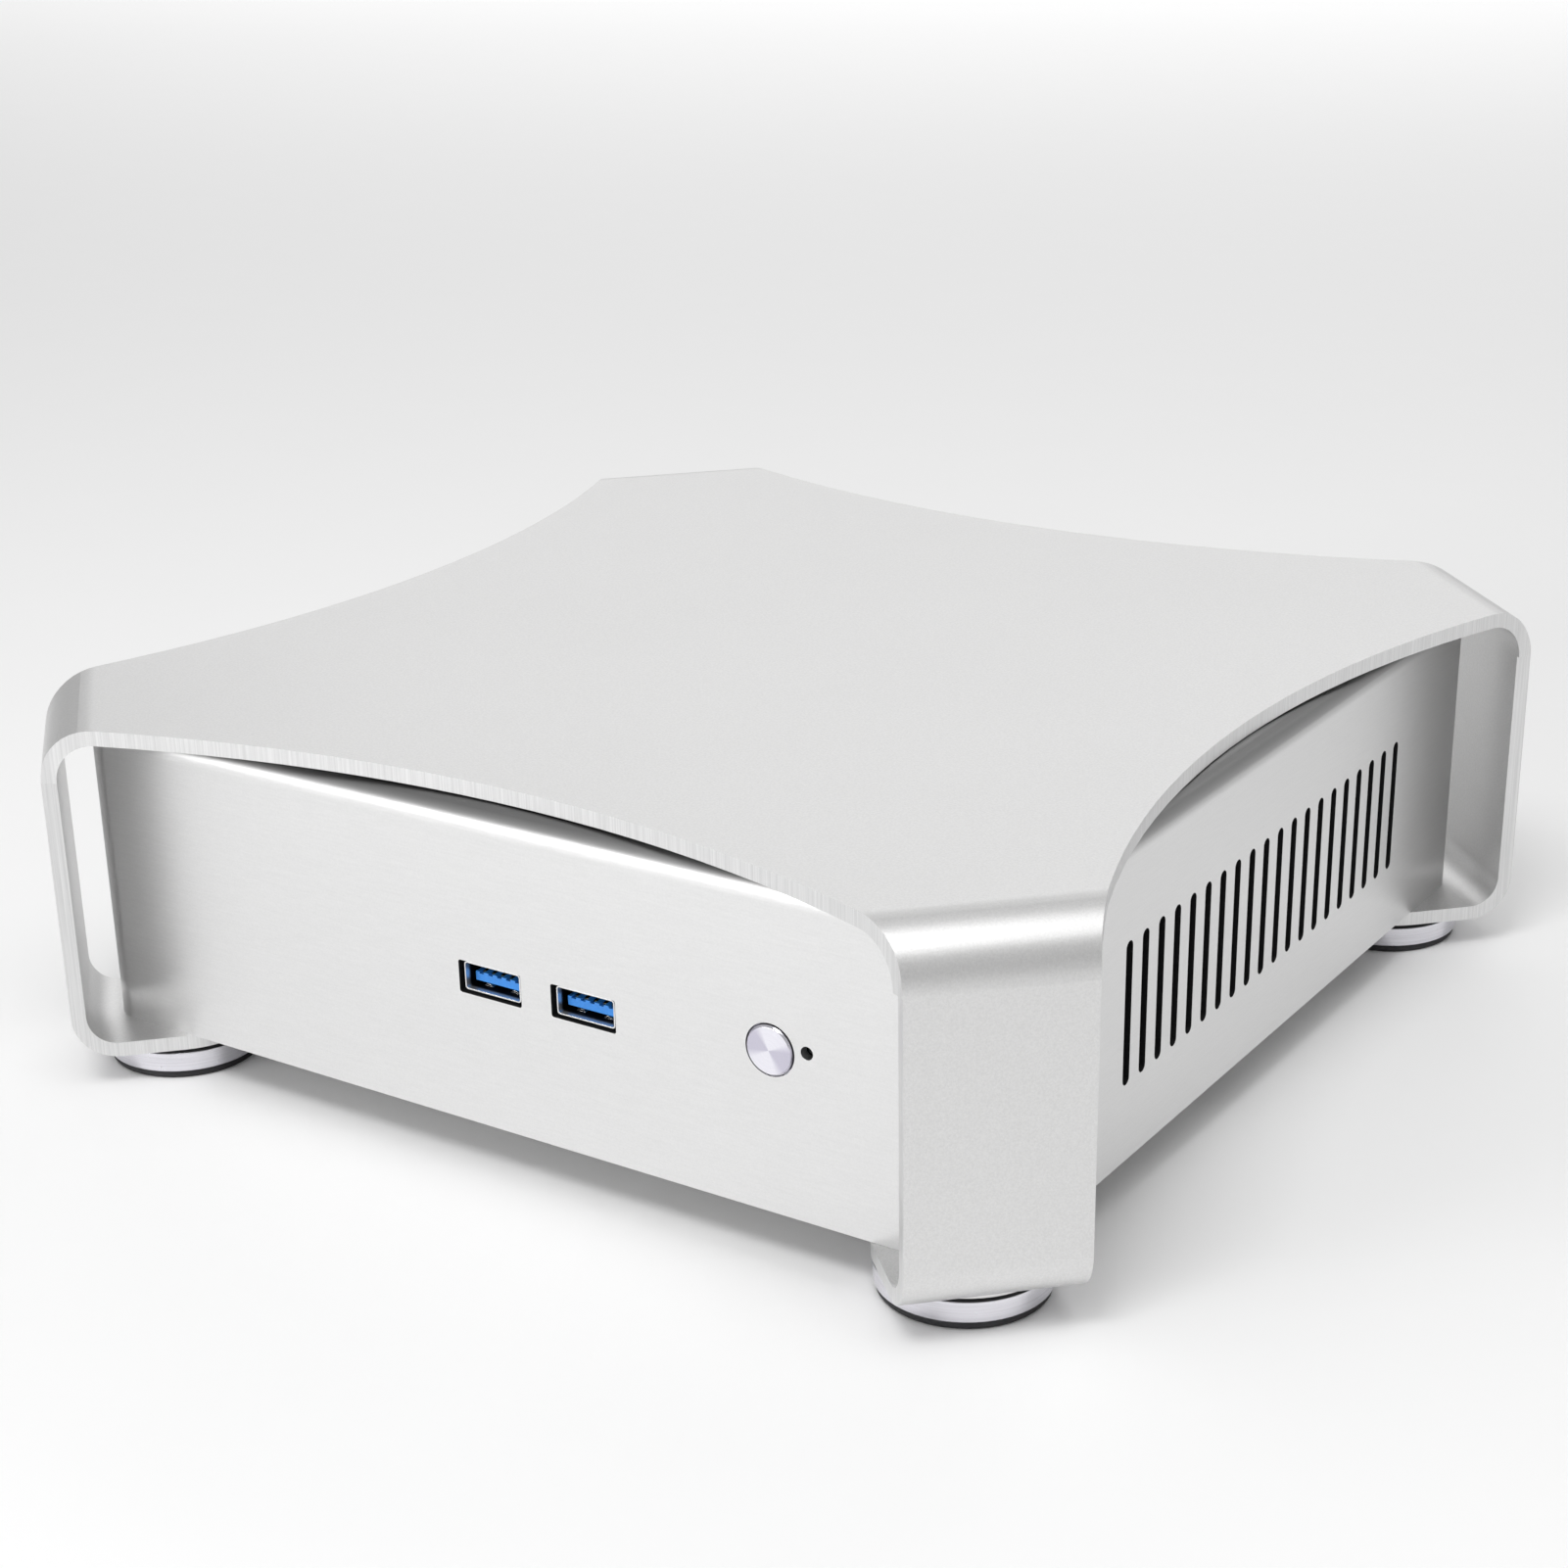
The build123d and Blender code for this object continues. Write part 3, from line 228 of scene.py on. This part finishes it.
def circuitBoard(name, mask, trace):  # solder mask over tracks
    r = Recipe(name)
    at = r.place()
    tracks = r.cells(at, 420, "DISTANCE_TO_EDGE")
    pads = r.cells(at, 260)
    isTrack = r.between(tracks, 0.10, 0.06)
    isPad = r.between(pads, 0.13, 0.10)
    colour = r.mix(isTrack, mask, trace)
    colour = r.mix(isPad, colour, (0.55, 0.52, 0.45, 1))
    return r.paint(Base_Color=colour, Metallic=isPad * 0.9, Roughness=0.32 + tracks * 0.15,
                   Normal=r.bump(isTrack + isPad * 2, 0.03 * mm))


def makeFinishes():
    made = {
        "frame_aluminium": blastedAluminium(),
        "case_aluminium": brushedAluminium(),
        "rear_sheet": plated("rearSheet", (0.72, 0.72, 0.72), 0.36, (40, 40, 2200)),
        "shield_steel": plated("shieldSteel", (0.66, 0.66, 0.64), 0.34, (1500, 1500, 60)),
        "post_aluminium": plated("millAluminium", (0.70, 0.70, 0.70), 0.32, (1400, 1400, 40)),
        "turned_aluminium": plated("turnedAluminium", (0.84, 0.83, 0.88), 0.24, (60, 60, 4000)),
        "button_aluminium": spunMetal(),
        "foot_rubber": moulded("footRubber", (0.016, 0.016, 0.018), 0.62, 1800, 0.03 * mm),
        "zinc_screws": plated("zincScrews", (0.70, 0.70, 0.66), 0.3, (900, 900, 900)),
        "black_screws": plated("blackScrews", (0.06, 0.06, 0.062), 0.42, (900, 900, 900)),
        "spring_steel": plated("springWire", (0.62, 0.62, 0.62), 0.24),
        "black_plastic": moulded("blackPlastic", (0.022, 0.022, 0.024), 0.45),
        "smoked_lens": moulded("smokedLens", (0.008, 0.008, 0.010), 0.18, 600, 0.002 * mm),
        "port_steel": plated("portSteel", (0.80, 0.80, 0.79), 0.22, (1200, 40, 1200)),
        "blue_plastic": moulded("bluePlastic", (0.045, 0.32, 0.95), 0.34, 1500, 0.004 * mm, spread=0.08),
        "contact_gold": plated("contactGold", (0.83, 0.62, 0.25), 0.2),
        "green_board": circuitBoard("greenBoard", (0.012, 0.12, 0.045, 1), (0.03, 0.22, 0.08, 1)),
        "dark_board": circuitBoard("darkBoard", (0.008, 0.012, 0.018, 1), (0.02, 0.03, 0.04, 1)),
        "black_epoxy": moulded("blackEpoxy", (0.028, 0.028, 0.028), 0.55, 3000),
        "nickel_plate": plated("nickelPlate", (0.74, 0.71, 0.66), 0.2),
        "sink_aluminium": plated("sinkAluminium", (0.74, 0.74, 0.74), 0.34, (1500, 40, 40)),
        "can_aluminium": plated("canAluminium", (0.68, 0.68, 0.69), 0.28, (60, 60, 1800)),
        "stator_copper": moulded("statorCopper", (0.55, 0.22, 0.08), 0.3, 2500, 0.04 * mm, 0.8, 0.25),
        "magnet_ring": moulded("magnetRing", (0.06, 0.055, 0.055), 0.6, 3000),
        "lead_jacket": moulded("leadJacket", (0.02, 0.02, 0.022), 0.5, 1600),
    }
    for name, node in frame["nodes"].items():
        node.data.materials.clear()
        node.data.materials.append(made[slotOf[name]])
    print("finishes made:", len(made))
    return made


def onlySelect(piece):
    bpy.ops.object.select_all(action="DESELECT")
    piece.select_set(True)
    bpy.context.view_layer.objects.active = piece


def remake(node, name, bevel):  # a merged, edge-softened and smoothed copy of a CAD node
    piece = bpy.data.objects.new(name, frame["nodes"][node].data.copy())
    bpy.context.scene.collection.objects.link(piece)
    onlySelect(piece)
    bpy.ops.object.mode_set(mode="EDIT")
    bpy.ops.mesh.select_all(action="SELECT")
    bpy.ops.mesh.remove_doubles(threshold=0.004 * mm)
    bpy.ops.mesh.dissolve_limited(angle_limit=math.radians(0.4))
    bpy.ops.object.mode_set(mode="OBJECT")
    bpy.ops.object.shade_smooth_by_angle(angle=math.radians(30))
    if bevel:
        soft = piece.modifiers.new("softEdge", "BEVEL")
        soft.width = bevel
        soft.segments = 2
        soft.limit_method = "ANGLE"
        soft.angle_limit = math.radians(35)
        bpy.ops.object.modifier_apply(modifier=soft.name)
        bpy.ops.object.shade_smooth_by_angle(angle=math.radians(30))
    even = piece.modifiers.new("evenShade", "WEIGHTED_NORMAL")  # keeps the flat faces flat
    even.keep_sharp = True
    bpy.ops.object.modifier_apply(modifier=even.name)
    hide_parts(node)
    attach(piece, bodyOf[node])
    return piece


finishes = makeFinishes()

folded = {"edgeSoft": 0.35 * mm, "underside": 70 * mm, "tabTop": 9.8 * mm, "tabReach": 140 * mm,
          "insideLow": 17.5 * mm}


def makeFoldedFrame():
    piece = remake("x_frame", "foldedFrame", folded["edgeSoft"])
    piece.data.materials.append(milledEdge())
    # painted shade: the plate's underside gets a dark finish where it shows in the gaps
    piece.data.materials.append(moulded("plateUndersidePaintedShade", (0.16, 0.16, 0.16), 0.5, metal=1.0))
    # painted shade: a darker metal on the inside of the tab under the case
    piece.data.materials.append(moulded("insideTabPaintedShade", (0.45, 0.45, 0.45), 0.48, metal=1.0))
    for face in piece.data.polygons:
        c, n = face.center, face.normal
        sideways = abs(n.x * math.copysign(1, c.y) - n.y * math.copysign(1, c.x)) / math.sqrt(2)
        reach = math.hypot(c.x, c.y)
        inward = n.x * c.x + n.y * c.y < 0.05 * reach and n.z > -0.3
        tabEnd = c.z < folded["tabTop"] and abs(n.z) < 0.3 and reach < folded["tabReach"]
        if n.z < -0.9 and c.z > folded["underside"]:
            face.material_index = 2
        elif sideways > 0.3 or tabEnd:
            face.material_index = 1
        elif c.z < folded["insideLow"] and c.x > 0 > c.y and inward:  # the tab beside the button, darkened as painted shade
            face.material_index = 3
    print("folded frame:", len(piece.data.polygons), "faces")


caseSkin = {"edgeSoft": 0.22 * mm, "wall": 2.0 * mm, "front": -103.5 * mm, "side": 104 * mm, "rim": 0.3 * mm,
            "portX": 9.5 * mm, "portHalf": 19.5 * mm, "portZ": 39.6 * mm, "portRise": 4.2 * mm,
            "slotReach": 72 * mm, "slotLow": 24.5 * mm, "slotHigh": 54.5 * mm}


def makeCaseSkin():
    piece = remake("case_shell", "caseSkin", caseSkin["edgeSoft"])
    # painted shade: the walls of the port hole and of the side slots are near black
    piece.data.materials.append(moulded("cutWallPaintedShade", (0.035, 0.035, 0.037), 0.4, metal=0.7))
    dark = 0
    for face in piece.data.polygons:
        c, n = face.center, face.normal
        depth = c.y - caseSkin["front"]
        inPort = abs(c.x - caseSkin["portX"]) < caseSkin["portHalf"]
        inPort = inPort and abs(c.z - caseSkin["portZ"]) < caseSkin["portRise"]
        portWall = inPort and abs(n.y) < 0.5 and caseSkin["rim"] < depth < caseSkin["wall"]
        inSlot = abs(c.y) < caseSkin["slotReach"] and caseSkin["slotLow"] < c.z < caseSkin["slotHigh"]
        inward = caseSkin["side"] - abs(c.x)
        slotWall = inSlot and abs(n.x) < 0.5 and caseSkin["rim"] < inward < caseSkin["wall"]
        if portWall or slotWall:
            face.material_index = 1
            dark += 1
    print("case skin:", len(piece.data.polygons), "faces,", dark, "dark")


softened = {  # CAD nodes that show, with the softening of their edges in mm
    "foot_pads": 0.2, "power_button_cap": 0.06, "rear_panel": 0.1, "io_shield": 0.05,
    "rear_port_shells": 0.08, "video_port": 0.08, "network_port": 0.1, "audio_jacks": 0.08,
    "power_jack": 0.08, "power_jack_nut": 0.1, "base_plate": 0.1, "foot_screws": 0.05,
    "rear_screws": 0.05, "base_screws": 0.04, "status_led": 0,
}


def softenShown():
    for node, width in softened.items():
        remake(node, node + "_soft", width * mm)
    print("softened:", len(softened))


def makeFootDiscs():  # the flat top and its bevel are painted dark as shade, close under the tab
    shaded = moulded("footTopPaintedShade", (0.012, 0.012, 0.013), 0.85)
    for corner in ("front_left", "front_right", "rear_left", "rear_right"):
        piece = remake("foot_disc_" + corner, "footDisc_" + corner, 0.12 * mm)
        piece.data.materials.append(shaded)
        for face in piece.data.polygons:
            face.material_index = 1 if face.normal.z > 0.55 else 0
    print("foot discs: 4")


frontPort = {"shellFront": -102.7 * mm, "bright": -101.9 * mm, "dark": -101.3 * mm, "tongueBack": -100.3 * mm,
             "centres": (-1.45 * mm, 19.95 * mm),
             "lipTop": 37.2 * mm, "lipLeft": -6.2 * mm, "lipDepth": 0.3 * mm,
             "fingerLow": 37.05 * mm, "fingerHigh": 38.5 * mm, "fingerAway": 3.1 * mm, "fingerHalf": 1.1 * mm,
             "fingerFront": -102.2 * mm, "middle": 39.6 * mm, "reach": 10 * mm}


def portInsidePaintedShade():  # plated steel, bright for the first millimetre, then painted shade deeper in
    r = Recipe("portInsidePaintedShade")
    at = r.place()
    paintedShadeDeep = r.between(r.axis(at, "Y"), frontPort["bright"], frontPort["dark"])
    fine = r.noise(at, 1400, 2.0)
    colour = r.mix(paintedShadeDeep, (0.86, 0.86, 0.86, 1), (0.02, 0.02, 0.022, 1))
    return r.paint(Base_Color=colour, Metallic=0.9, Roughness=0.3 + (fine - 0.5) * 0.1,
                   Normal=r.bump(fine, 0.004 * mm))


def makePortShells():  # plain steel on the lip below and at the left and on the spring fingers, painted shade inside
    piece = remake("front_port_shells", "portShells", 0.04 * mm)
    piece.data.materials.append(portInsidePaintedShade())
    for face in piece.data.polygons:
        c, n = face.center, face.normal
        away = min((c.x - x for x in frontPort["centres"]), key=abs)
        lip = c.y < frontPort["shellFront"] + frontPort["lipDepth"] and n.y < -0.3
        lip = lip and (c.z < frontPort["lipTop"] or away < frontPort["lipLeft"])
        finger = abs(abs(away) - frontPort["fingerAway"]) < frontPort["fingerHalf"] and n.z > 0.2
        finger = finger and frontPort["fingerLow"] < c.z < frontPort["fingerHigh"]
        finger = finger and c.y > frontPort["fingerFront"]
        face.material_index = 0 if lip or finger else 1
    print("port shells:", len(piece.data.polygons), "faces")


def makePortTongues():  # blue tongues; the front-facing faces deeper in, behind the tongues, are black
    piece = remake("front_port_tongues", "portTongues", 0.05 * mm)
    piece.data.materials.append(finishes["black_plastic"])
    for face in piece.data.polygons:
        c, n = face.center, face.normal
        near = abs(c.z - frontPort["middle"]) < frontPort["reach"]
        back = near and c.y > frontPort["tongueBack"] and n.y < -0.5
        face.material_index = 1 if back else 0
    print("port tongues:", len(piece.data.polygons), "faces")


def makeButtonSpring():  # the spring that shortens as the cap is pressed, given a mesh of its own
    piece = remake("button_spring", "buttonSpring", 0)
    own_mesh(piece)


makeFoldedFrame()
makeButtonSpring()
makeCaseSkin()
makeFootDiscs()
softenShown()
makePortShells()
makePortTongues()

camera = {  # place in metres, turns in degrees; focal length and middle in the units of imageSize
    "place": (0.3103, -0.4732, 0.2553), "yaw": 34.907, "pitch": 23.051, "roll": -1.585,
    "focal": 2932.3, "middle": (743.6, 942.4), "imageSize": 1601,
}


def makeCamera():
    yaw, pitch, roll = (math.radians(camera[k]) for k in ("yaw", "pitch", "roll"))
    right = Vector((math.cos(yaw), math.sin(yaw), 0))
    ahead = Vector((-math.sin(yaw) * math.cos(pitch), math.cos(yaw) * math.cos(pitch), -math.sin(pitch)))
    up = right.cross(ahead)
    tiltedRight = math.cos(roll) * right + math.sin(roll) * up
    tiltedUp = math.cos(roll) * up - math.sin(roll) * right
    turn = Matrix((tiltedRight, tiltedUp, -ahead)).transposed().to_4x4()
    data = bpy.data.cameras.new("mainCamera")
    data.sensor_width = 36
    data.lens = camera["focal"] * data.sensor_width / camera["imageSize"]
    half = camera["imageSize"] / 2
    data.shift_x = (half - camera["middle"][0]) / camera["imageSize"]
    data.shift_y = (camera["middle"][1] - half) / camera["imageSize"]
    data.clip_start = 0.01
    holder = bpy.data.objects.new("mainCamera", data)
    bpy.context.scene.collection.objects.link(holder)
    holder.matrix_world = Matrix.Translation(camera["place"]) @ turn
    bpy.context.scene.camera = holder


def softLight(name, place, target, size, power):
    data = bpy.data.lights.new(name, "AREA")
    data.shape = "RECTANGLE"
    data.size, data.size_y = size
    data.energy = power
    lamp = bpy.data.objects.new(name, data)
    bpy.context.scene.collection.objects.link(lamp)
    lamp.location = place
    lamp.rotation_euler = (Vector(target) - Vector(place)).to_track_quat("-Z", "Y").to_euler()


studio = {
    "world": 0.45, "floor": 0.96,
    "softboxes": {  # place, aim, size, watts
        "keySoftbox": ((-0.8, -1.5, 0.45), (-0.05, -0.05, 0.03), (0.8, 0.35), 7.8),
        "topSoftbox": ((0.1, -0.7, 1.15), (0.0, -0.05, 0.0), (0.5, 0.35), 5.2),
        "backSoftbox": ((-0.75, 1.35, 0.95), (0.0, 0.1, 0.0), (1.8, 0.9), 1.4),
        "bendSoftbox": ((0.38, -0.28, 1.2), (0.05, -0.05, 0.0), (0.8, 0.75), 3.5),
        "sideSoftbox": ((0.6, 1.15, 0.8), (0.1, 0.0, 0.05), (0.35, 0.25), 0.3),
        "farSoftbox": ((-1.2, 2.4, 1.5), (-1.3, 2.7, 0.0), (3.0, 1.5), 28),
    },
}


def makeStudio():
    bpy.ops.object.select_all(action="DESELECT")
    bpy.ops.mesh.primitive_plane_add(size=16, location=(0, 0, 0))
    floor = bpy.context.active_object
    floor.name = "studioFloor"
    r = Recipe("studioFloor")
    speck = r.noise(r.place(), 30, 2.0)
    light = studio["floor"]
    colour = r.mix(speck, grey(light - 0.01), grey(light))
    floor.data.materials.append(r.paint(Base_Color=colour, Roughness=0.7))
    world = bpy.data.worlds.new("studio")
    bpy.context.scene.world = world
    world.use_nodes = True
    world.node_tree.nodes["Background"].inputs[0].default_value = (1, 1, 1, 1)
    world.node_tree.nodes["Background"].inputs[1].default_value = studio["world"]
    for name, (place, aim, size, power) in studio["softboxes"].items():
        softLight(name, place, aim, size, power)
    bpy.context.scene.view_settings.view_transform = "Standard"
    print("studio:", len(studio["softboxes"]), "softboxes")


makeCamera()
makeStudio()
